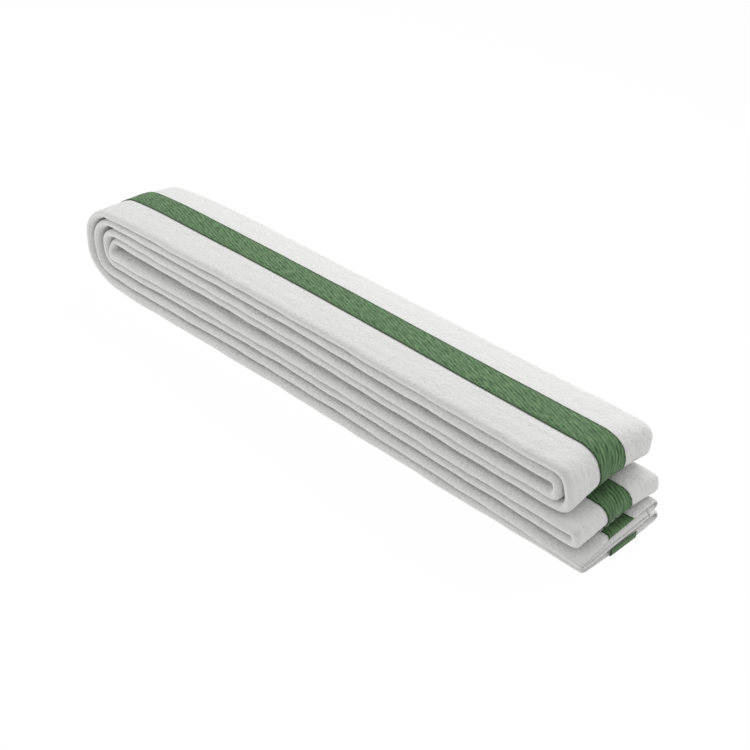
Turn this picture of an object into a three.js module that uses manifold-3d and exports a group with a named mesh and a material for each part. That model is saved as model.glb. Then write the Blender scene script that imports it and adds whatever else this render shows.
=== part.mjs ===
// Martial arts belt, folded in half three times into an eight-layer bundle.
// Millimetres. X runs along the bundle, Y across the belt's width, Z up from the surface it lies on.
// The belt is a padded strip: three core plies in a wrapped cotton cover, a stripe tape sewn along its
// front face, and lockstitch rows whose needle threads lie on the front and bobbin threads on the back.
import * as THREE from "three";
import { mergeVertices } from "three/addons/utils/BufferGeometryUtils.js";
import Module from "manifold-3d";

// The belt laid flat
const beltWidth = 40;
const beltThickness = 4;
const coverWall = 0.45;
const edgeRound = 1.6;
const coreInset = 1.5;
const plyCount = 3;
const plyClearance = 0.05;
const seamFromEdge = 5;
const seamWidth = 0.3;
const tapeWidth = 12;
const tapeThickness = 0.4;
const threadWidth = 0.5;
const threadHeight = 0.12;
const grooveClearance = 0.05;

// Stitch rows: distances inside the tape's edge, outside it, and inside the belt's edge
const tapeRowInset = 0.8;
const innerRowOutset = 4.5;
const edgeRowInset = 3.8;
const endRowInset = 4;
const rowStop = 8;

// The folded bundle
const bundleLength = 275;
const upperFoldShort = 3.9;
const restClearance = 0.1;
const middlePocket = 0.55;
const centreGap = 0.95;
const upperPocket = 0.9;
const leftTurnSteps = 10;
const rightTurnSteps = 8;
const settleLength = 42;
const settleDepth = 0.16;

const wasm = await Module();
wasm.setup();

// Gaps between layers: front faces carry the tape, with its thread pulled in flush; back faces thread alone
const frontBuild = Math.max(tapeThickness, threadHeight);
const frontGap = 2 * frontBuild + restClearance;
const backGap = 2 * threadHeight + restClearance;

// Mid-heights of the eight legs, listed from the bottom of the bundle up
const upward = [
  ["leg1", backGap],
  ["leg8", frontGap],
  ["leg5", backGap + middlePocket],
  ["leg4", frontGap + centreGap],
  ["leg3", backGap],
  ["leg6", frontGap + upperPocket],
  ["leg7", backGap],
  ["leg2", 0],
];
const height = {};
let rise = frontBuild;
for (const [leg, gapAbove] of upward) {
  height[leg] = rise + beltThickness / 2;
  rise += beltThickness + gapAbove;
}
const centreHeight = (height.leg3 + height.leg4) / 2;

// Turn centres along X
const leftReach = (height.leg2 - height.leg1) / 2 + beltThickness / 2 + frontBuild;
const leftCentre = -bundleLength / 2 + leftReach;
const beltEnd = bundleLength / 2;
const upperReach = (height.leg2 - height.leg3) / 2 + beltThickness / 2 + frontBuild;
const upperCentre = beltEnd - upperFoldShort - upperReach;
const middleReach = (height.leg4 - height.leg5) / 2 + beltThickness / 2 + frontBuild;
const middleCentre = beltEnd - middleReach;

// A station is a point of the belt's mid-surface and the unit step towards its front face.
function straight(fromX, toX, z, front) {
  const stops = [fromX];
  const left = Math.min(fromX, toX);
  if (left < leftCentre + 1) {
    const nearTurn = [leftCentre + settleLength * 0.55, leftCentre + settleLength * 0.25];
    stops.push(...(fromX > toX ? nearTurn : nearTurn.reverse()));
  }
  stops.push(toX);
  return stops.map((x) => ({ x, z, nx: 0, nz: front }));
}

// Half turn from one leg's height to another's, side -1 at the left end and 1 at the right.
function halfTurn(centreX, centreZ, fromZ, toZ, side, steps, outward) {
  const start = Math.abs(fromZ - centreZ);
  const finish = Math.abs(toZ - centreZ);
  const reach = (start + finish) / 2;
  const up = Math.sign(fromZ - centreZ);
  const stations = [];
  for (let i = 1; i < steps; i++) {
    const angle = (Math.PI * i) / steps;
    const drop = Math.cos(angle) * (angle < Math.PI / 2 ? start : finish);
    stations.push({
      x: centreX + side * reach * Math.sin(angle),
      z: centreZ + up * drop,
      nx: outward * side * Math.sin(angle),
      nz: outward * up * Math.cos(angle),
    });
  }
  return stations;
}

// The whole belt from its lower end to its upper end; trim is left off both ends.
function beltPath(trim) {
  const end = beltEnd - trim;
  const left = (a, b, outward) =>
    halfTurn(leftCentre, centreHeight, height[a], height[b], -1, leftTurnSteps, outward);
  const right = (x, a, b, outward) =>
    halfTurn(x, (height[a] + height[b]) / 2, height[a], height[b], 1, rightTurnSteps, outward);
  return [
    ...straight(end, leftCentre, height.leg1, -1),
    ...left("leg1", "leg2", 1),
    ...straight(leftCentre, upperCentre, height.leg2, 1),
    ...right(upperCentre, "leg2", "leg3", 1),
    ...straight(upperCentre, leftCentre, height.leg3, -1),
    ...left("leg3", "leg4", -1),
    ...straight(leftCentre, middleCentre, height.leg4, 1),
    ...right(middleCentre, "leg4", "leg5", 1),
    ...straight(middleCentre, leftCentre, height.leg5, -1),
    ...left("leg5", "leg6", 1),
    ...straight(leftCentre, upperCentre, height.leg6, 1),
    ...right(upperCentre, "leg6", "leg7", -1),
    ...straight(upperCentre, leftCentre, height.leg7, -1),
    ...left("leg7", "leg8", -1),
    ...straight(leftCentre, end, height.leg8, 1),
  ];
}

// The layers lie pressed together towards the left folds, so the bundle is lower there.
function settled(x, z) {
  const past = Math.max(0, (leftCentre + settleLength - leftReach - x) / settleLength);
  const share = 1 - settleDepth * past * past;
  return new THREE.Vector2(x, centreHeight + (z - centreHeight) * share);
}

// Closed outline in XZ of the strip between two distances from the mid-surface.
function stripShape(low, high, trim) {
  const path = beltPath(trim);
  const at = (s, d) => settled(s.x + s.nx * d, s.z + s.nz * d);
  const near = path.map((s) => at(s, low));
  const far = path.map((s) => at(s, high)).reverse();
  return new THREE.Shape([...near, ...far]);
}

// Extrudes an XZ outline from y0 to y1, its long edges rounded by round.
function acrossWidth(shape, y0, y1, round = 0) {
  const geometry = new THREE.ExtrudeGeometry(shape, {
    depth: y1 - y0 - 2 * round,
    bevelEnabled: round > 0,
    bevelThickness: round,
    bevelSize: round,
    bevelOffset: -round,
    bevelSegments: 2,
    steps: 1,
  });
  geometry.rotateX(Math.PI / 2);
  geometry.translate(0, y1 - round, 0);
  return geometry;
}

function solidOf(geometry) {
  const bare = new THREE.BufferGeometry();
  bare.setAttribute("position", geometry.getAttribute("position"));
  const merged = mergeVertices(bare, 1e-4);
  return new wasm.Manifold(
    new wasm.Mesh({
      numProp: 3,
      vertProperties: merged.attributes.position.array,
      triVerts: new Uint32Array(merged.index.array),
    }),
  );
}

function geometryOf(solid) {
  const mesh = solid.getMesh();
  const geometry = new THREE.BufferGeometry();
  geometry.setAttribute("position", new THREE.BufferAttribute(mesh.vertProperties, 3));
  geometry.setIndex(new THREE.BufferAttribute(mesh.triVerts, 1));
  geometry.computeVertexNormals();
  return geometry;
}

const group = new THREE.Group();
function addNode(name, geometry, material) {
  const mesh = new THREE.Mesh(geometry, material);
  mesh.name = name;
  group.add(mesh);
}

const whiteCotton = () => new THREE.MeshStandardMaterial({ color: 0xf1f1ee, roughness: 0.9 });
const coreFelt = () => new THREE.MeshStandardMaterial({ color: 0xe6e2d8, roughness: 1 });
const greenTape = () => new THREE.MeshStandardMaterial({ color: 0x4f8a4d, roughness: 0.8 });
const whiteThread = () => new THREE.MeshStandardMaterial({ color: 0xe9e9e4, roughness: 0.7 });
const greenThread = () => new THREE.MeshStandardMaterial({ color: 0x3f7340, roughness: 0.7 });

// Cover: one cotton strip wrapped round the core, its long edges meeting in a seam on the back face.
function cottonCover() {
  const half = beltThickness / 2;
  const coreHalf = beltWidth / 2 - coreInset;
  const seamY = beltWidth / 2 - seamFromEdge;
  const wrap = solidOf(
    acrossWidth(stripShape(-half, half, 0), -beltWidth / 2, beltWidth / 2, edgeRound),
  );
  const hollow = solidOf(
    acrossWidth(stripShape(coverWall - half, half - coverWall, coverWall), -coreHalf, coreHalf),
  );
  const seam = solidOf(
    acrossWidth(stripShape(-half - 0.1, coverWall - half + 0.1, edgeRound), seamY, seamY + seamWidth),
  );
  return geometryOf(wrap.subtract(hollow).subtract(seam));
}
addNode("cotton_cover", cottonCover(), whiteCotton());

// Core plies: equal strips stacked inside the cover.
const hollowDepth = beltThickness - 2 * coverWall;
const plyPitch = (hollowDepth - plyClearance) / plyCount;
for (let i = 0; i < plyCount; i++) {
  const low = -hollowDepth / 2 + plyClearance + i * plyPitch;
  const reach = beltWidth / 2 - coreInset - plyClearance;
  const strip = stripShape(low, low + plyPitch - plyClearance, coverWall + plyClearance);
  addNode(`core_ply_${i + 1}`, acrossWidth(strip, -reach, reach), coreFelt());
}

// Stripe tape: a woven tape along the middle of the front face. The stitches pull into it,
// so it has a shallow groove under each of its two rows and under both closing rows.
const tapeFace = beltThickness / 2 + tapeThickness;
const grooveFloor = tapeFace - threadHeight;
function stripeTape() {
  const tapeStrip = stripShape(beltThickness / 2, tapeFace, 0);
  let tape = solidOf(acrossWidth(tapeStrip, -tapeWidth / 2, tapeWidth / 2));
  const grooveStrip = stripShape(grooveFloor, tapeFace + 0.1, rowStop - grooveClearance);
  const grooveHalf = threadWidth / 2 + grooveClearance;
  const tapeRow = tapeWidth / 2 - tapeRowInset;
  for (const y of [-tapeRow, tapeRow]) {
    tape = tape.subtract(solidOf(acrossWidth(grooveStrip, y - grooveHalf, y + grooveHalf)));
  }
  for (const [leg, front] of [["leg1", -1], ["leg8", 1]]) {
    const groove = new THREE.BoxGeometry(2 * grooveHalf, tapeWidth + 1, threadHeight + 0.1);
    groove.translate(
      beltEnd - endRowInset + threadWidth / 2,
      0,
      height[leg] + front * (grooveFloor + (threadHeight + 0.1) / 2),
    );
    tape = tape.subtract(solidOf(groove.toNonIndexed()));
  }
  return geometryOf(tape);
}
addNode("stripe_tape", stripeTape(), greenTape());

// Stitch rows along the belt: needle thread on the front face, bobbin thread on the back.
function threadRow(low, y) {
  const strip = stripShape(low, low + threadHeight, rowStop);
  return acrossWidth(strip, y - threadWidth / 2, y + threadWidth / 2);
}
const rows = [
  -beltWidth / 2 + edgeRowInset,
  -tapeWidth / 2 - innerRowOutset,
  -tapeWidth / 2 + tapeRowInset,
  tapeWidth / 2 - tapeRowInset,
  tapeWidth / 2 + innerRowOutset,
  beltWidth / 2 - edgeRowInset,
];
rows.forEach((y, i) => {
  const onTape = Math.abs(y) < tapeWidth / 2;
  const front = onTape ? grooveFloor : beltThickness / 2;
  const back = -beltThickness / 2 - threadHeight;
  addNode(`needle_row_${i + 1}`, threadRow(front, y), onTape ? greenThread() : whiteThread());
  addNode(`bobbin_row_${i + 1}`, threadRow(back, y), whiteThread());
});

// Closing rows across both ends: the needle thread steps over the tape, the bobbin thread runs flat.
function closingRow(z, side, stepOver) {
  const reach = beltWidth / 2 - edgeRowInset;
  const edge = tapeWidth / 2 + threadHeight;
  const step = grooveFloor - beltThickness / 2;
  const line = [[-reach, 0], [reach, 0]];
  if (stepOver) {
    line.splice(1, 0, [-edge, 0], [-edge, step], [edge, step], [edge, 0]);
  }
  const inner = line.map(([y, d]) => new THREE.Vector2(y, z + side * d));
  const outer = line.map(([y, d], i) => {
    const widen = d > 0 || (i > 0 && i < line.length - 1) ? Math.sign(y) * threadHeight : 0;
    return new THREE.Vector2(y + widen * (stepOver ? 1 : 0), z + side * (d + threadHeight));
  });
  const shape = new THREE.Shape([...inner, ...outer.reverse()]);
  const geometry = new THREE.ExtrudeGeometry(shape, { depth: threadWidth, bevelEnabled: false });
  geometry.rotateX(Math.PI / 2);
  geometry.rotateZ(Math.PI / 2);
  geometry.translate(beltEnd - endRowInset, 0, 0);
  return geometry;
}
for (const [end, leg, front] of [["lower", "leg1", -1], ["upper", "leg8", 1]]) {
  const half = beltThickness / 2;
  addNode(`${end}_end_needle_row`, closingRow(height[leg] + front * half, front, true), whiteThread());
  addNode(`${end}_end_bobbin_row`, closingRow(height[leg] - front * half, -front, false), whiteThread());
}

export default group;
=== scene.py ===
import math

import bmesh
import bpy
import numpy as np
from mathutils import Matrix, Vector


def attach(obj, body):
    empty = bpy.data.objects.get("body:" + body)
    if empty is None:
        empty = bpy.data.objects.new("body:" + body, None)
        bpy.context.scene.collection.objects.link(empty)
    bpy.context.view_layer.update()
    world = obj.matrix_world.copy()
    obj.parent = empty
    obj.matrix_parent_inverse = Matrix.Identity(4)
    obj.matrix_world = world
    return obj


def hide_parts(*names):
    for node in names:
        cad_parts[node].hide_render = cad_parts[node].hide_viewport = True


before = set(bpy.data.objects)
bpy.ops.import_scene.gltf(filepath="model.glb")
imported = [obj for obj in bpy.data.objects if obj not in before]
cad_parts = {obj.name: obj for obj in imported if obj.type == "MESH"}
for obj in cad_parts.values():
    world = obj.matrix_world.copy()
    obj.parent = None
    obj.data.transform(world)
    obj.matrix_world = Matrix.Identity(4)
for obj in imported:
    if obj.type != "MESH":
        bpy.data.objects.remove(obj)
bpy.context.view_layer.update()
MM = 0.001


# Camera: a short telephoto lens above the near right corner of the bundle.
# It stands about half a metre away, so the near folds look larger than the far ones.
look_at = Vector((0.0224, 0.0, 0.0140))
view_turn = math.radians(46.0)
view_rise = math.radians(33.74)
view_distance = 0.531

towards_camera = Vector(
    (
        math.sin(view_turn) * math.cos(view_rise),
        -math.cos(view_turn) * math.cos(view_rise),
        math.sin(view_rise),
    )
)
camera = bpy.data.objects.new("camera", bpy.data.cameras.new("camera"))
bpy.context.collection.objects.link(camera)
camera.data.sensor_width = 36.0
camera.data.lens = 67.3
camera.data.clip_start = 0.01
camera.location = look_at + view_distance * towards_camera
camera.rotation_euler = towards_camera.to_track_quat("Z", "Y").to_euler()
bpy.context.scene.camera = camera


# Core: three strips of needled cotton felt, cut to length and stacked.
# They set how the whole belt lies, so the path of the folds is worked out here.
BELT_WIDTH = 40 * MM
BELT_THICKNESS = 4.0 * MM
COVER_WALL = 0.45 * MM
TAPE_THICKNESS = 0.4 * MM
THREAD_RISE = 0.12 * MM
REST_CLEARANCE = 0.1 * MM
BUNDLE_LENGTH = 275 * MM
UPPER_FOLD_SHORT = 3.9 * MM
MIDDLE_FOLD_LONG = 1.2 * MM
END_REACH = 1.7 * MM
SETTLE_LENGTH = 42 * MM
SETTLE_DEPTH = 0.16

front_build = TAPE_THICKNESS
front_gap = 2 * front_build + REST_CLEARANCE
back_gap = 2 * THREAD_RISE + REST_CLEARANCE


# Mid-heights of the eight layers at one end, from the three gaps that stand open there.
def layer_heights(middle_pocket, centre_gap, upper_pocket):
    upward = (
        ("leg1", back_gap),
        ("leg8", front_gap),
        ("leg5", back_gap + middle_pocket),
        ("leg4", front_gap + centre_gap),
        ("leg3", back_gap),
        ("leg6", front_gap + upper_pocket),
        ("leg7", back_gap),
        ("leg2", 0.0),
    )
    heights, rise = {}, front_build
    for leg, gap_above in upward:
        heights[leg] = rise + BELT_THICKNESS / 2
        rise += BELT_THICKNESS + gap_above
    return heights


left_height = layer_heights(0.2 * MM, 1.5 * MM, 0.3 * MM)
right_height = layer_heights(0.9 * MM, 0.1 * MM, 1.5 * MM)
centre_height = (left_height["leg3"] + left_height["leg4"]) / 2

# How far each layer stands out towards the near side: at its left end, middle and right end.
stand_out = {
    "leg1": (1.2 * MM, 0.6 * MM, -1.2 * MM),
    "leg2": (0.2 * MM, 0.2 * MM, 0.3 * MM),
    "leg3": (-2.4 * MM, -1.4 * MM, -0.6 * MM),
    "leg4": (0.4 * MM, -0.1 * MM, 1.0 * MM),
    "leg5": (-0.9 * MM, -1.4 * MM, -0.2 * MM),
    "leg6": (-1.6 * MM, -0.4 * MM, 0.5 * MM),
    "leg7": (-0.8 * MM, -0.2 * MM, 0.4 * MM),
    "leg8": (0.2 * MM, -0.6 * MM, 0.9 * MM),
}

outer_half = BELT_THICKNESS / 2 + front_build
left_centre = -BUNDLE_LENGTH / 2 + (left_height["leg2"] - left_height["leg1"]) / 2 + outer_half
fold_end = BUNDLE_LENGTH / 2
belt_end = fold_end + END_REACH
upper_centre = (
    fold_end
    - UPPER_FOLD_SHORT
    - (right_height["leg2"] - right_height["leg3"]) / 2
    - outer_half
)
middle_centre = (
    fold_end
    + MIDDLE_FOLD_LONG
    - (right_height["leg4"] - right_height["leg5"]) / 2
    - outer_half
)

LEG_STEPS = 240
TURN_STEPS = 60
path_rows = []  # x, z, step to the front face in x and z, stand-out


# One straight layer, from one fold towards the next or out to a cut end.
def run_leg(leg, from_x, to_x, front):
    far_x = upper_centre if leg in ("leg2", "leg3", "leg6", "leg7") else middle_centre
    for x in np.linspace(from_x, to_x, LEG_STEPS):
        t = min(1.0, (x - left_centre) / (far_x - left_centre))
        z = left_height[leg] * (1 - t) + right_height[leg] * t
        left, middle, right = stand_out[leg]
        out = left * (1 - t) * (1 - 2 * t) + middle * 4 * t * (1 - t) + right * t * (2 * t - 1)
        path_rows.append((x, z, 0.0, front, out))


# One fold, from a layer to the next; outward is 1 where the front face is on the outside.
def turn_over(leg, next_leg, centre_x, side, outward):
    heights = left_height if side < 0 else right_height
    end = 0 if side < 0 else 2
    centre_z = centre_height if side < 0 else (heights[leg] + heights[next_leg]) / 2
    start, finish = abs(heights[leg] - centre_z), abs(heights[next_leg] - centre_z)
    reach, up = (start + finish) / 2, math.copysign(1, heights[leg] - centre_z)
    for angle in np.linspace(0, math.pi, TURN_STEPS)[1:-1]:
        drop = math.cos(angle) * (start if angle < math.pi / 2 else finish)
        t = (1 - math.cos(angle)) / 2
        path_rows.append(
            (
                centre_x + side * reach * math.sin(angle),
                centre_z + up * drop,
                outward * side * math.sin(angle),
                outward * up * math.cos(angle),
                stand_out[leg][end] * (1 - t) + stand_out[next_leg][end] * t,
            )
        )


run_leg("leg1", belt_end, left_centre, -1)
turn_over("leg1", "leg2", left_centre, -1, 1)
run_leg("leg2", left_centre, upper_centre, 1)
turn_over("leg2", "leg3", upper_centre, 1, 1)
run_leg("leg3", upper_centre, left_centre, -1)
turn_over("leg3", "leg4", left_centre, -1, -1)
run_leg("leg4", left_centre, middle_centre, 1)
turn_over("leg4", "leg5", middle_centre, 1, 1)
run_leg("leg5", middle_centre, left_centre, -1)
turn_over("leg5", "leg6", left_centre, -1, 1)
run_leg("leg6", left_centre, upper_centre, 1)
turn_over("leg6", "leg7", upper_centre, 1, -1)
run_leg("leg7", upper_centre, left_centre, -1)
turn_over("leg7", "leg8", left_centre, -1, -1)
run_leg("leg8", left_centre, belt_end, 1)

path = np.array(path_rows)
path_step = np.hypot(*np.diff(path[:, :2], axis=0).T)
path_run = np.concatenate([[0.0], np.cumsum(path_step)])
BELT_LENGTH = float(path_run[-1])
turning = np.abs(path[:, 2]) > 1e-6


# Places of a cloth's cross-lines, wide apart on a layer and close together in a fold.
def cross_lines(layer_pitch, fold_pitch):
    pitch = np.where(turning, fold_pitch, layer_pitch)
    near_fold = np.convolve(turning.astype(float), np.ones(9), "same") > 0
    pitch = np.where(near_fold, fold_pitch, pitch)
    count = np.concatenate([[0.0], np.cumsum(path_step / pitch[1:])])
    return np.interp(np.linspace(0, count[-1], int(count[-1]) + 1), count, path_run)


# Squares off a round turn about its centre, the more so the further a point lies from the stripe.
def square_off(x, y, z, centre_x, centre_z, where, most):
    dx, dz = x - centre_x, z - centre_z
    reach = np.maximum(np.hypot(dx, dz), 1e-9)
    power = 2 + most * np.minimum(1, np.abs(y) / (BELT_WIDTH / 2)) ** 2
    sides = (np.abs(dx) / reach) ** power + (np.abs(dz) / reach) ** power
    grow = np.where(where, sides ** (-1 / power), 1)
    return centre_x + dx * grow, centre_z + dz * grow


upper_turn_height = (right_height["leg2"] + right_height["leg3"]) / 2
middle_turn_height = (right_height["leg4"] + right_height["leg5"]) / 2
upper_floor = (right_height["leg3"] + right_height["leg4"]) / 2
middle_floor = (right_height["leg5"] + right_height["leg8"]) / 2

# How much squarer than round the turns are at the belt's edges
LEFT_SQUARE = 0.5
RIGHT_SQUARE = 1.4
# How the right end lies askew, from where it starts to how far it slips, twists and droops
ASKEW_START = 15 * MM
ASKEW_ZONE = 25 * MM
FAR_REACH = 2.0 * MM
TOP_TWIST = 0.8 * MM
UPPER_END_REACH = 1.1 * MM
LOWER_END_REACH = 0.4 * MM
LOWER_END_BULGE = 0.5 * MM
DROOP = 0.2
# How the layers puff up at the right, dome at the top, are pressed at the left, and bow
PUFF = 3.3 * MM
TOP_LIFT = 0.2 * MM
TOP_DOME = 0.5 * MM
FAR_PRESS = 0.08
NEAR_LEAN = 0.5 * MM
BOW = 1.5 * MM


# Folds flat-sewn points: X along the belt, Y across it, Z from mid-surface to front face.
def fold(points):
    run = np.clip(points[:, 0], 0, BELT_LENGTH)
    x, z, nx, nz, out = (np.interp(run, path_run, column) for column in path.T)
    y = points[:, 1]
    length = np.hypot(nx, nz)
    x = x + nx / length * points[:, 2] + np.abs(points[:, 0] - run)
    z = z + nz / length * points[:, 2]
    across = y / (BELT_WIDTH / 2)

    # The turns are round at the stripe and squarer at the belt's edges.
    upper = (x > upper_centre) & (z > upper_floor)
    middle = (x > middle_centre) & (z < upper_floor) & (z > middle_floor)
    x, z = square_off(x, y, z, left_centre, centre_height, x < left_centre, LEFT_SQUARE)
    x, z = square_off(x, y, z, upper_centre, upper_turn_height, upper, RIGHT_SQUARE)
    x, z = square_off(x, y, z, middle_centre, middle_turn_height, middle, RIGHT_SQUARE)

    # The right end is a little askew: its far side reaches further, and the top fold is twisted.
    near_end = np.clip((x - upper_centre + ASKEW_START) / ASKEW_ZONE, 0, 1) ** 2
    x = x + near_end * FAR_REACH * np.maximum(across, 0) * (z > middle_floor)
    twist = np.where(z > upper_floor, (z - upper_turn_height) / (8.5 * MM), 0)
    x = x + near_end * TOP_TWIST * across * twist

    bottom = z < (right_height["leg1"] + right_height["leg8"]) / 2
    lower_reach = LOWER_END_REACH + LOWER_END_BULGE * (1 - across**2)
    end_shape = np.where(bottom, lower_reach, UPPER_END_REACH) * (z < middle_floor)
    x = x + near_end * end_shape
    droop = near_end * np.clip((-8 * MM - y) / (12 * MM), 0, 1) * (z < middle_floor)
    z = z * (1 - DROOP * droop)

    # There the middle layers puff up towards the far side, and the top fold gives way.
    puff = np.clip((x - 60 * MM) / (70 * MM), 0, 1) ** 2
    puff = puff * np.clip((y + BELT_WIDTH / 2) / (34 * MM), 0, 1)
    z = z + PUFF * puff * np.interp(z, (2 * MM, 7 * MM, 21 * MM, 39 * MM), (0.1, 0.95, 1, 0))
    dome = TOP_LIFT + TOP_DOME * (1 - across**2)
    z = z + dome * (z > left_height["leg7"] + BELT_THICKNESS / 2)

    # The left folds are pressed together, most of all at their far side.
    past = np.maximum(0, (-BUNDLE_LENGTH / 2 + SETTLE_LENGTH - x) / SETTLE_LENGTH)
    z = centre_height + (z - centre_height) * (1 - SETTLE_DEPTH * past**2)
    pressed = np.clip((-60 * MM - x) / (75 * MM), 0, 1) ** 2
    z = z * (1 - FAR_PRESS * pressed * np.clip((y - 2 * MM) / (18 * MM), 0, 1) ** 1.3)

    # Halfway along, the near edges lie back a little and the belt is crowned.
    halfway = np.exp(-(((x + 15 * MM) / (75 * MM)) ** 2))
    y = y - out - NEAR_LEAN * (across < 0) * across**2
    y = y + BOW * halfway * (1 - ((across + 1) / 2) ** 2)
    return np.stack([x, y, z], axis=1)


def read_points(mesh):
    flat = np.empty(len(mesh.vertices) * 3, np.float32)
    mesh.vertices.foreach_get("co", flat)
    return flat.reshape(-1, 3).astype(float)


def write_points(mesh, points):
    mesh.vertices.foreach_set("co", points.astype(np.float32).ravel())
    mesh.update()


# Flat cloth from a grid: its columns go to the given runs, its rows to a section's points.
# The section lists (across, out) points, and the UV map is the cloth's flat size in metres.
def cloth_strip(name, runs, section, shape_of=None):
    section = np.array(section)
    girth = np.concatenate([[0], np.cumsum(np.hypot(*np.diff(section, axis=0).T))])
    bm = bmesh.new()
    bmesh.ops.create_grid(
        bm, x_segments=len(runs) - 1, y_segments=len(section) - 1, size=0.5
    )
    mesh = bpy.data.meshes.new(name)
    bm.to_mesh(mesh)
    bm.free()
    grid = read_points(mesh)
    column = np.rint((grid[:, 0] + 0.5) * (len(runs) - 1)).astype(int)
    row = np.rint((grid[:, 1] + 0.5) * (len(section) - 1)).astype(int)
    points = np.stack([runs[column], section[row, 0], section[row, 1]], axis=1)
    if shape_of is not None:
        points = shape_of(points, column, row)
    write_points(mesh, fold(points))
    corner = np.empty(len(mesh.loops), np.int32)
    mesh.loops.foreach_get("vertex_index", corner)
    uv = np.stack([runs[column], girth[row]], axis=1)[corner]
    mesh.uv_layers.new(name="cloth").data.foreach_set("uv", uv.astype(np.float32).ravel())
    mesh.shade_smooth()
    piece = bpy.data.objects.new(name, mesh)
    bpy.context.collection.objects.link(piece)
    return piece, float(girth[-1])


def solidify(piece, thickness):
    wall = piece.modifiers.new("cloth thickness", "SOLIDIFY")
    wall.thickness = thickness
    wall.offset = -1


# Turns an sRGB hex colour to the linear values that shaders take.
def hex_colour(code):
    channels = [int(code[i : i + 2], 16) / 255 for i in (1, 3, 5)]
    linear = [c / 12.92 if c <= 0.04045 else ((c + 0.055) / 1.055) ** 2.4 for c in channels]
    return (*linear, 1.0)


# Adds one shader node with its settings and the links into its sockets.
def add_node(tree, kind, settings=None, sockets=None):
    node = tree.nodes.new(kind)
    for key, value in (settings or {}).items():
        setattr(node, key, value)
    for key, value in (sockets or {}).items():
        if isinstance(value, bpy.types.NodeSocket):
            tree.links.new(value, node.inputs[key])
        else:
            node.inputs[key].default_value = value
    return node


def new_material(name):
    material = bpy.data.materials.new(name)
    material.use_nodes = True
    material.node_tree.nodes.clear()
    return material, material.node_tree


# Needled cotton felt, unbleached: matt, off-white, with short tangled fibres.
# Its fibres are far finer than shows, so the tangle is drawn 1.2 mm wide.
FELT_FIBRE = 1.2 * MM
felt, tree = new_material("needled cotton felt")
flat_uv = add_node(tree, "ShaderNodeUVMap", {"uv_map": "cloth"})
fibres = add_node(
    tree,
    "ShaderNodeTexNoise",
    sockets={"Vector": flat_uv.outputs["UV"], "Scale": 1 / FELT_FIBRE, "Detail": 4.0},
)
felt_colour = add_node(
    tree,
    "ShaderNodeMix",
    {"data_type": "RGBA"},
    {
        "Factor": fibres.outputs["Fac"],
        "A": hex_colour("#d8d2c2"),
        "B": hex_colour("#e6e1d4"),
    },
)
felt_bump = add_node(
    tree,
    "ShaderNodeBump",
    sockets={"Height": fibres.outputs["Fac"], "Strength": 0.5, "Distance": 0.2 * MM},
)
felt_surface = add_node(
    tree,
    "ShaderNodeBsdfPrincipled",
    sockets={
        "Base Color": felt_colour.outputs["Result"],
        "Roughness": 0.95,
        "Normal": felt_bump.outputs["Normal"],
    },
)
add_node(tree, "ShaderNodeOutputMaterial", sockets={"Surface": felt_surface.outputs["BSDF"]})

PLY_COUNT = 3
PLY_CLEARANCE = 0.05 * MM
PLY_WIDTH = 36.6 * MM
PLY_SHORT = 3.5 * MM
hollow_depth = BELT_THICKNESS - 2 * COVER_WALL
ply_pitch = (hollow_depth - PLY_CLEARANCE) / PLY_COUNT
ply_runs = cross_lines(6 * MM, 1.2 * MM)
ply_runs = np.clip(ply_runs, PLY_SHORT, BELT_LENGTH - PLY_SHORT)
ply_runs = np.unique(ply_runs)
for i in range(PLY_COUNT):
    top = -hollow_depth / 2 + (i + 1) * ply_pitch - 0.25 * MM * (i - 1)
    across = np.linspace(-PLY_WIDTH / 2, PLY_WIDTH / 2, 13)
    ply, _ = cloth_strip(f"felt_ply_{i + 1}", ply_runs, [(y, top) for y in across])
    solidify(ply, ply_pitch - PLY_CLEARANCE - 0.25 * MM)
    ply.data.materials.append(felt)
    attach(ply, "root")
    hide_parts(f"core_ply_{i + 1}")


# Cover: one strip of bleached cotton drill wrapped round the core, its edges butted on the back.
# The stitch rows pull it down in shallow channels, and both ends are tucked in and pressed.
SEAM_FROM_EDGE = 5 * MM
SEAM_GAP = 0.15 * MM
TAPE_WIDTH = 12 * MM
TAPE_ROW = TAPE_WIDTH / 2 - 0.8 * MM
INNER_ROW = TAPE_WIDTH / 2 + 4.5 * MM
EDGE_ROW = BELT_WIDTH / 2 - 3.8 * MM
CHANNEL_DEPTH = 0.1 * MM
CHANNEL_WIDTH = 0.9 * MM
EDGE_RADIUS = 1.7 * MM
EDGE_REACH = 2.3 * MM
CROWN = 0.2 * MM
TUCK = 2.5 * MM
TUCK_GAP = 0.13  # opening left between the tucked edges, as a share of the thickness


# Half thickness of the sewn belt at a distance from its middle.
def half_thickness(y):
    half = BELT_THICKNESS / 2 - 0.02 * MM - CROWN * (y / (BELT_WIDTH / 2)) ** 2
    for row in (INNER_ROW, EDGE_ROW):
        half -= CHANNEL_DEPTH * math.exp(-(((abs(y) - row) / CHANNEL_WIDTH) ** 2))
    return half


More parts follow.
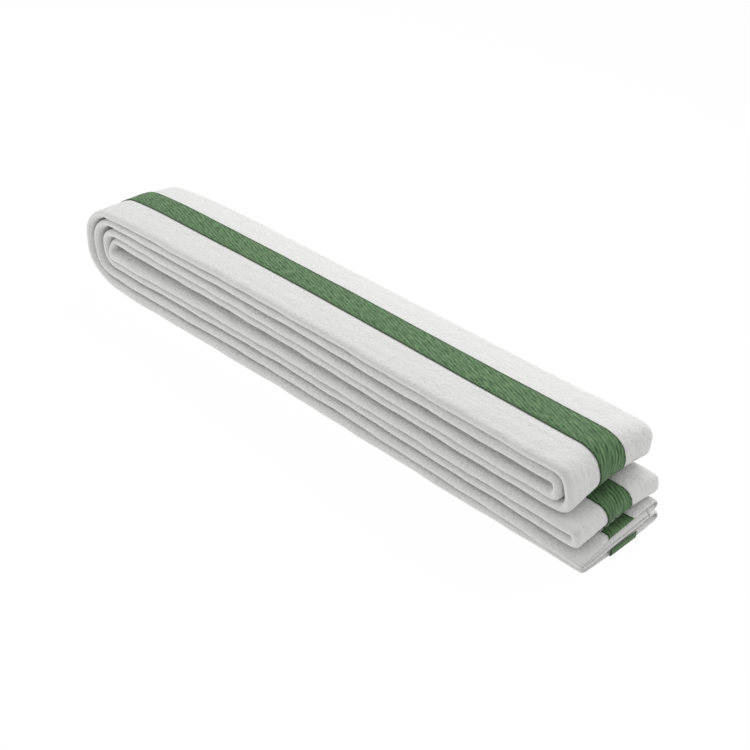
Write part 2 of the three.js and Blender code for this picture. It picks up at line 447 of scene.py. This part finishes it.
def cover_section():
    flat_edge = BELT_WIDTH / 2 - EDGE_REACH
    seam_y = BELT_WIDTH / 2 - SEAM_FROM_EDGE
    near_rows = [5.9, 7.8, 9.2, 9.9, 10.5, 11.1, 11.8, 13.4, 15.0, 15.7, 16.2, 16.7, 17.2]
    front = [y * MM for y in reversed(near_rows)] + [3 * MM, 0.0]
    front += [-y for y in reversed(front[:-1])]
    back = [-17.2, -16.2, -15.2, -13.4, -11.3, -10.5, -9.7, -6, 0, 6, 9.7, 10.5, 11.3, 13.4]
    points = [(seam_y + SEAM_GAP, -half_thickness(seam_y))]
    points += [(16.2 * MM, -half_thickness(16.2 * MM)), (17.2 * MM, -half_thickness(17.2 * MM))]
    edge_rise = half_thickness(flat_edge) - EDGE_RADIUS
    rounding = [math.radians(angle) for angle in (-72, -54, -36, -18, 0)]
    rounding = [(math.cos(turn), math.sin(turn)) for turn in rounding]
    for reach, lift in rounding:
        points.append((flat_edge + EDGE_REACH * reach, EDGE_RADIUS * lift - edge_rise))
    for reach, lift in reversed(rounding):
        points.append((flat_edge + EDGE_REACH * reach, edge_rise - EDGE_RADIUS * lift))
    points += [(y, half_thickness(y)) for y in front]
    for reach, lift in rounding:
        points.append((-flat_edge - EDGE_REACH * reach, edge_rise - EDGE_RADIUS * lift))
    for reach, lift in reversed(rounding):
        points.append((-flat_edge - EDGE_REACH * reach, EDGE_RADIUS * lift - edge_rise))
    points += [(y * MM, -half_thickness(y * MM)) for y in back]
    points.append((seam_y - SEAM_GAP, -half_thickness(seam_y)))
    return points[::-1]


# Soft unevenness of hand-folded cloth: a few long waves, the same on every run.
def ripple(run, lengths, phase):
    total = np.zeros_like(run)
    for i, length in enumerate(lengths):
        total += np.sin(2 * math.pi * run / length + phase * (i + 1.7)) / len(lengths)
    return total


# How much thinner the belt lies, from place to place, than where it is full.
def thinning(run, y):
    return 0.035 * (1 + ripple(run + 3 * y, (47 * MM, 23 * MM, 83 * MM), 0.4))


END_ROUND = 1.3 * MM
end_steps = np.array([0.0, 0.1, 0.3, 0.7, END_ROUND / MM]) * MM
cover_runs = cross_lines(5 * MM, 0.8 * MM)
full_from = END_ROUND + 1 * MM
inside = cover_runs[(cover_runs > full_from) & (cover_runs < BELT_LENGTH - full_from)]
lower_tuck = np.array([TUCK, TUCK / 2])
cover_runs = np.concatenate(
    [lower_tuck, end_steps, inside, BELT_LENGTH - end_steps[::-1], BELT_LENGTH - lower_tuck[::-1]]
)


# Rounds the belt's ends and turns the cover's raw edges in, then lets the cloth lie unevenly.
def finish_cover(points, column, row):
    run, y, out = points.T
    from_end = np.minimum(run, BELT_LENGTH - run)
    tucked = (column < 2) | (column > column.max() - 2)
    closing = np.clip((END_ROUND - from_end) / END_ROUND, 0, 1)
    pinch = 0.4 + 0.3 * np.clip(1 + y / (BELT_WIDTH / 2), 0, 1)
    thin = np.sqrt(np.maximum(0, 1 - closing**2)) * (1 - pinch) + pinch
    thin = np.where(tucked, TUCK_GAP, thin)
    narrow = 1.022 - 0.03 * closing**2 - 0.02 * tucked
    edge = (np.abs(y) / (BELT_WIDTH / 2)) ** 6
    y = y * narrow + np.sign(y) * edge * 0.35 * MM * ripple(run, (61 * MM, 37 * MM, 19 * MM), 1.3)
    in_fold = np.interp(run, path_run, turning.astype(float))
    creased = edge * in_fold * 0.03 * (ripple(run, (3.7 * MM, 5.9 * MM), 2.1) - 1)
    wavy = edge * 0.04 * (ripple(run, (43 * MM, 27 * MM, 17 * MM), 5.3) - 1)
    out = out * thin * (1 - thinning(run, y) + creased + wavy)
    return np.stack([run, y, out], axis=1)


cover, cover_girth = cloth_strip("cotton_drill_cover", cover_runs, cover_section(), finish_cover)
solidify(cover, COVER_WALL)

# Bleached cotton drill: matt and white, a fine weave with slubs, mottle and soft crumples.
# The real threads lie 0.4 mm apart, too fine to show, so the weave is drawn 0.9 mm apart.
# A wave texture of scale 1 has its bands 0.314 apart.
WEAVE = 0.9 * MM
BAND_SPACING = 0.314
SLUB_LENGTH = 14 * MM
drill, tree = new_material("bleached cotton drill")
flat_uv = add_node(tree, "ShaderNodeUVMap", {"uv_map": "cloth"})
warp = add_node(
    tree,
    "ShaderNodeTexWave",
    {"wave_type": "BANDS", "bands_direction": "Y"},
    {
        "Vector": flat_uv.outputs["UV"],
        "Scale": BAND_SPACING / WEAVE,
        "Distortion": 1.5,
        "Detail": 2.0,
    },
)
weft = add_node(
    tree,
    "ShaderNodeTexWave",
    {"wave_type": "BANDS", "bands_direction": "X"},
    {
        "Vector": flat_uv.outputs["UV"],
        "Scale": BAND_SPACING / WEAVE,
        "Distortion": 1.5,
        "Detail": 2.0,
    },
)
weave = add_node(
    tree,
    "ShaderNodeMath",
    {"operation": "MULTIPLY"},
    {0: warp.outputs["Fac"], 1: weft.outputs["Fac"]},
)
stretch = add_node(
    tree,
    "ShaderNodeMapping",
    sockets={"Vector": flat_uv.outputs["UV"], "Scale": (1 / SLUB_LENGTH, 1 / (1.3 * MM), 1.0)},
)
slubs = add_node(
    tree,
    "ShaderNodeTexNoise",
    sockets={"Vector": stretch.outputs["Vector"], "Scale": 1.0, "Detail": 3.0, "Roughness": 0.6},
)
mottle = add_node(
    tree,
    "ShaderNodeTexNoise",
    sockets={"Vector": flat_uv.outputs["UV"], "Scale": 1 / (1.4 * MM), "Detail": 4.0},
)
crumple = add_node(
    tree,
    "ShaderNodeTexNoise",
    sockets={"Vector": flat_uv.outputs["UV"], "Scale": 1 / (7 * MM), "Detail": 2.0},
)
relief = add_node(
    tree,
    "ShaderNodeMath",
    {"operation": "MULTIPLY_ADD"},
    {0: weave.outputs["Value"], 1: 0.12, 2: mottle.outputs["Fac"]},
)
relief = add_node(
    tree,
    "ShaderNodeMath",
    {"operation": "MULTIPLY_ADD"},
    {0: slubs.outputs["Fac"], 1: 0.15, 2: relief.outputs["Value"]},
)
drill_colour = add_node(
    tree,
    "ShaderNodeMix",
    {"data_type": "RGBA"},
    {
        "Factor": mottle.outputs["Fac"],
        "A": hex_colour("#d8d8d7"),
        "B": hex_colour("#e2e2e1"),
    },
)
fine_bump = add_node(
    tree,
    "ShaderNodeBump",
    sockets={"Height": relief.outputs["Value"], "Strength": 1.0, "Distance": 0.4 * MM},
)
drill_bump = add_node(
    tree,
    "ShaderNodeBump",
    sockets={
        "Height": crumple.outputs["Fac"],
        "Strength": 0.7,
        "Distance": 0.9 * MM,
        "Normal": fine_bump.outputs["Normal"],
    },
)
drill_surface = add_node(
    tree,
    "ShaderNodeBsdfPrincipled",
    sockets={
        "Base Color": drill_colour.outputs["Result"],
        "Roughness": 0.9,
        "IOR": 1.47,
        "Specular IOR Level": 0.25,
        "Sheen Weight": 0.15,
        "Sheen Roughness": 0.5,
        "Normal": drill_bump.outputs["Normal"],
    },
)
add_node(tree, "ShaderNodeOutputMaterial", sockets={"Surface": drill_surface.outputs["BSDF"]})
cover.data.materials.append(drill)
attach(cover, "root")
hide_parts("cotton_cover")


# Stripe tape: a 12 mm twill tape of green cotton, woven with a selvedge along both edges.
# It is sewn along the middle of the front face and turned round both ends of the belt.
TAPE_WALL = TAPE_THICKNESS * 0.9
TAPE_TWILL = 1.3 * MM
PICK_PITCH = 1.3 * MM
tape_half = [0.0, 1.6, 3.2, 4.6, 5.0, 5.2, 5.4, 5.8, 6.0]
tape_drop = {5.0: 0.05, 5.2: 0.1, 5.4: 0.05, 6.0: 0.08}
tape_level = BELT_THICKNESS / 2 + TAPE_THICKNESS
tape_section = [
    (side * y * MM, tape_level - tape_drop.get(y, 0.0) * MM)
    for side, across in ((-1, tape_half[:0:-1]), (1, tape_half))
    for y in across
]
WRAP_RADIUS = 1.6 * MM
WRAP_ANGLES = math.radians(102), math.radians(52)
lower_wrap, upper_wrap = (WRAP_RADIUS - WRAP_RADIUS * np.linspace(a, 0, 10) for a in WRAP_ANGLES)
on_belt = inside[(inside > 2 * WRAP_RADIUS) & (inside < BELT_LENGTH - 2 * WRAP_RADIUS)]
tape_runs = np.concatenate([lower_wrap, on_belt, BELT_LENGTH - upper_wrap[::-1]])
top_fold = path_run[np.argmax(np.where(path[:, 1] > centre_height, path[:, 0], -1))]


# Bends the tape's ends round the ends of the belt, and lets it follow the cover's unevenness.
def finish_tape(points, column, row):
    run, y, out = points.T
    from_end = np.minimum(run, BELT_LENGTH - run)
    bend = np.clip((WRAP_RADIUS - from_end) / WRAP_RADIUS, 0, None)
    out = out - BELT_THICKNESS / 2 * thinning(run, y) - 0.04 * MM
    past_end = (WRAP_RADIUS + 0.55 * MM) * np.sin(bend) ** 0.65 - WRAP_RADIUS
    run = np.where(
        bend > 0,
        np.where(run < BELT_LENGTH / 2, -past_end, BELT_LENGTH + past_end),
        run,
    )
    out = out * np.sign(np.cos(bend)) * np.abs(np.cos(bend)) ** 0.65
    near_top_fold = np.exp(-(((run - top_fold) / (50 * MM)) ** 2))
    y = y * (0.98 + 0.04 * near_top_fold + 0.15 * np.minimum(1, bend))
    return np.stack([run, y, out], axis=1)


tape, tape_girth = cloth_strip("twill_stripe_tape", tape_runs, tape_section, finish_tape)
solidify(tape, TAPE_WALL)

# Green cotton twill tape: fine diagonal ribs, a little sheen, and painted shade: a thin dark
# toothed line along both edges where the tape meets the cotton.
# The real ribs and picks lie 0.6 mm apart, so they are drawn 1.3 mm apart to show.
twill, tree = new_material("green cotton twill tape")
flat_uv = add_node(tree, "ShaderNodeUVMap", {"uv_map": "cloth"})
rib_turn = add_node(
    tree,
    "ShaderNodeMapping",
    sockets={"Vector": flat_uv.outputs["UV"], "Rotation": (0, 0, math.radians(19))},
)
ribs = add_node(
    tree,
    "ShaderNodeTexWave",
    {"wave_type": "BANDS", "bands_direction": "Y"},
    {
        "Vector": rib_turn.outputs["Vector"],
        "Scale": BAND_SPACING / TAPE_TWILL,
        "Distortion": 3.0,
        "Detail": 2.0,
        "Detail Scale": 1.5,
    },
)
yarn_stretch = add_node(
    tree,
    "ShaderNodeMapping",
    sockets={
        "Vector": rib_turn.outputs["Vector"],
        "Scale": (1 / (3.5 * MM), 1 / (1.0 * MM), 1.0),
    },
)
yarns = add_node(
    tree,
    "ShaderNodeTexNoise",
    sockets={"Vector": yarn_stretch.outputs["Vector"], "Scale": 1.0, "Detail": 3.0},
)
rib_shade = add_node(
    tree,
    "ShaderNodeMath",
    {"operation": "MULTIPLY_ADD"},
    {0: ribs.outputs["Fac"], 1: 0.22, 2: yarns.outputs["Fac"]},
)
rib_mask = add_node(
    tree,
    "ShaderNodeMapRange",
    sockets={"Value": rib_shade.outputs["Value"], "From Min": 0.35, "From Max": 0.85},
)
twill_colour = add_node(
    tree,
    "ShaderNodeMix",
    {"data_type": "RGBA"},
    {
        "Factor": rib_mask.outputs["Result"],
        "A": hex_colour("#2c4c29"),
        "B": hex_colour("#6a8c62"),
    },
)
flat_place = add_node(tree, "ShaderNodeSeparateXYZ", sockets={"Vector": flat_uv.outputs["UV"]})
off_middle = add_node(
    tree,
    "ShaderNodeMath",
    {"operation": "SUBTRACT"},
    {0: flat_place.outputs["Y"], 1: tape_girth / 2},
)
off_middle = add_node(
    tree, "ShaderNodeMath", {"operation": "ABSOLUTE"}, {0: off_middle.outputs["Value"]}
)
picks = add_node(
    tree,
    "ShaderNodeTexWave",
    {"wave_type": "BANDS", "bands_direction": "X"},
    {
        "Vector": flat_uv.outputs["UV"],
        "Scale": BAND_SPACING / PICK_PITCH,
        "Distortion": 1.0,
    },
)
toothed = add_node(
    tree,
    "ShaderNodeMath",
    {"operation": "MULTIPLY_ADD"},
    {0: picks.outputs["Fac"], 1: 0.4 * MM, 2: off_middle.outputs["Value"]},
)
# Painted shade: the tape's colour turns dark green in a toothed band along both edges, standing
# in for the shade where the tape meets the cotton.
painted_edge_shade = add_node(
    tree,
    "ShaderNodeMapRange",
    sockets={
        "Value": toothed.outputs["Value"],
        "From Min": tape_girth / 2 - 0.38 * MM,
        "From Max": tape_girth / 2 - 0.1 * MM,
    },
)
# Mixes the painted edge shade into the tape's colour.
twill_colour = add_node(
    tree,
    "ShaderNodeMix",
    {"data_type": "RGBA"},
    {
        "Factor": painted_edge_shade.outputs["Result"],
        "A": twill_colour.outputs["Result"],
        "B": hex_colour("#294423"),
    },
)
twill_bump = add_node(
    tree,
    "ShaderNodeBump",
    sockets={"Height": rib_shade.outputs["Value"], "Strength": 0.8, "Distance": 0.2 * MM},
)
twill_surface = add_node(
    tree,
    "ShaderNodeBsdfPrincipled",
    sockets={
        "Base Color": twill_colour.outputs["Result"],
        "Roughness": 0.75,
        "IOR": 1.47,
        "Specular IOR Level": 0.3,
        "Sheen Weight": 0.1,
        "Normal": twill_bump.outputs["Normal"],
    },
)
add_node(tree, "ShaderNodeOutputMaterial", sockets={"Surface": twill_surface.outputs["BSDF"]})
tape.data.materials.append(twill)
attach(tape, "root")
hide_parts("stripe_tape")


# Lockstitch rows: spun thread, one row each side of the tape's edge and two in the white cloth.
# Each stitch is a short bead of thread that dips into the cloth at both ends.
STITCH_PITCH = 3.0 * MM
STITCH_LENGTH = 2.6 * MM
THREAD_WIDTH = 0.5 * MM
THREAD_HEIGHT = 0.2 * MM
THREAD_LAY = 0.35 * MM
THREAD_SINK = 0.03 * MM
ROW_STOP = 8 * MM


# Spun cotton thread: matt, its plies wound at a slant, with light and dark turns.
def thread_material(name, light, dark):
    thread, tree = new_material(name)
    place = add_node(tree, "ShaderNodeTexCoord")
    lay = add_node(
        tree,
        "ShaderNodeTexWave",
        {"wave_type": "BANDS", "bands_direction": "DIAGONAL"},
        {
            "Vector": place.outputs["Object"],
            "Scale": BAND_SPACING / THREAD_LAY,
            "Distortion": 1.0,
        },
    )
    colour = add_node(
        tree,
        "ShaderNodeMix",
        {"data_type": "RGBA"},
        {"Factor": lay.outputs["Fac"], "A": hex_colour(dark), "B": hex_colour(light)},
    )
    bump = add_node(
        tree,
        "ShaderNodeBump",
        sockets={"Height": lay.outputs["Fac"], "Strength": 0.4, "Distance": 0.05 * MM},
    )
    surface = add_node(
        tree,
        "ShaderNodeBsdfPrincipled",
        sockets={
            "Base Color": colour.outputs["Result"],
            "Roughness": 0.7,
            "IOR": 1.5,
            "Specular IOR Level": 0.3,
            "Normal": bump.outputs["Normal"],
        },
    )
    add_node(tree, "ShaderNodeOutputMaterial", sockets={"Surface": surface.outputs["BSDF"]})
    return thread


white_thread = thread_material("white spun cotton thread", "#e6e6e5", "#dcdcdb")
green_thread = thread_material("green spun cotton thread", "#587a52", "#4a6a45")


# One flat row of stitches, doubled up from a single bead until it reaches the row's length.
def stitch_row(name, first, last, across, level, along=True):
    bm = bmesh.new()
    bmesh.ops.create_uvsphere(bm, u_segments=6, v_segments=4, radius=0.5)
    bmesh.ops.rotate(bm, verts=bm.verts, matrix=Matrix.Rotation(math.pi / 2, 3, "Y"))
    bmesh.ops.scale(bm, verts=bm.verts, vec=(STITCH_LENGTH, THREAD_WIDTH, THREAD_HEIGHT))
    count = int((last - first) / STITCH_PITCH)
    made = 1
    while made < count:
        extra = min(made, count - made)
        beads = set(sorted(bm.verts, key=lambda v: v.co.x)[: extra * 20])
        faces = [f for f in bm.faces if f.verts[0] in beads]
        copy = bmesh.ops.duplicate(bm, geom=faces)
        moved = [v for v in copy["geom"] if isinstance(v, bmesh.types.BMVert)]
        bmesh.ops.translate(bm, verts=moved, vec=(made * STITCH_PITCH, 0, 0))
        made += extra
    bmesh.ops.translate(bm, verts=bm.verts, vec=(first + STITCH_PITCH / 2, across, level))
    mesh = bpy.data.meshes.new(name)
    bm.to_mesh(mesh)
    bm.free()
    mesh.shade_smooth()
    row = bpy.data.objects.new(name, mesh)
    bpy.context.collection.objects.link(row)
    return row


rows = (-EDGE_ROW, -INNER_ROW, -TAPE_ROW, TAPE_ROW, INNER_ROW, EDGE_ROW)
for i, y in enumerate(rows):
    on_tape = abs(y) < TAPE_WIDTH / 2
    front_level = half_thickness(y) - THREAD_SINK
    if on_tape:
        front_level = BELT_THICKNESS / 2 + TAPE_WALL - 0.1 * MM
    back_level = -half_thickness(y)
    for face, level in (("needle", front_level), ("bobbin", back_level)):
        row = stitch_row(f"{face}_stitches_{i + 1}", ROW_STOP, BELT_LENGTH - ROW_STOP, y, level)
        points = read_points(row.data)
        points[:, 2] -= level * thinning(points[:, 0], y)
        write_points(row.data, fold(points))
        row.data.materials.append(green_thread if on_tape and face == "needle" else white_thread)
        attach(row, "root")
        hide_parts(f"{face}_row_{i + 1}")


# Closing rows: one row of white lockstitch across each end, through cover, core and tape.
# Its needle thread crosses over the tape on the front, and its bobbin thread the plain back.
END_ROW = 4 * MM
for end, run in (("lower", END_ROW), ("upper", BELT_LENGTH - END_ROW)):
    for face, side in (("needle", 1), ("bobbin", -1)):
        row = stitch_row(f"{end}_end_{face}_stitches", -EDGE_ROW, EDGE_ROW, 0.0, 0.0)
        points = read_points(row.data)
        across = points[:, 0].copy()
        lift = np.array([half_thickness(y) for y in across])
        if side > 0:
            over_tape = np.abs(across) < TAPE_WIDTH / 2 + 0.3 * MM
            lift = np.where(over_tape, lift + TAPE_THICKNESS, lift)
        out = side * (lift + points[:, 2] - THREAD_SINK)
        points = np.stack([run + points[:, 1], across, out], axis=1)
        write_points(row.data, fold(points))
        row.data.materials.append(white_thread)
        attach(row, "root")
        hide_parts(f"{end}_end_{face}_row")


# Studio: a backlit white acrylic table, a strip softbox close above the bundle's far side,
# a large one above the near side, one at the left end, and even white fill.
bm = bmesh.new()
bmesh.ops.create_grid(bm, x_segments=1, y_segments=1, size=6.0)
floor_mesh = bpy.data.meshes.new("floor")
bm.to_mesh(floor_mesh)
bm.free()
floor = bpy.data.objects.new("floor", floor_mesh)
bpy.context.collection.objects.link(floor)
acrylic, tree = new_material("backlit white acrylic")
acrylic_surface = add_node(
    tree,
    "ShaderNodeBsdfPrincipled",
    sockets={
        "Base Color": hex_colour("#3c3c3c"),
        "Roughness": 0.95,
        "Specular IOR Level": 0.1,
        "Emission Color": (1, 1, 1, 1),
        "Emission Strength": 0.96,
    },
)
add_node(tree, "ShaderNodeOutputMaterial", sockets={"Surface": acrylic_surface.outputs["BSDF"]})
floor_mesh.materials.append(acrylic)


# One rectangular softbox, aimed at the bundle.
def soft_light(name, width, height, power, place):
    light = bpy.data.lights.new(name, "AREA")
    light.shape = "RECTANGLE"
    light.size = width
    light.size_y = height
    light.energy = power
    lamp = bpy.data.objects.new(name, light)
    lamp.location = place
    lamp.rotation_euler = (Vector(place) - look_at).to_track_quat("Z", "Y").to_euler()
    bpy.context.collection.objects.link(lamp)


soft_light("strip_softbox", 0.6, 0.12, 0.8, (0.03, 0.18, 0.22))
soft_light("overhead_softbox", 0.8, 0.8, 1.45, (-0.24, -0.42, 0.52))
soft_light("left_softbox", 0.5, 0.4, 0.8, (-0.62, -0.3, 0.2))

world = bpy.data.worlds.new("studio")
bpy.context.scene.world = world
world.use_nodes = True
world.node_tree.nodes["Background"].inputs["Color"].default_value = (1, 1, 1, 1)
world.node_tree.nodes["Background"].inputs["Strength"].default_value = 0.42
bpy.context.scene.view_settings.view_transform = "Standard"
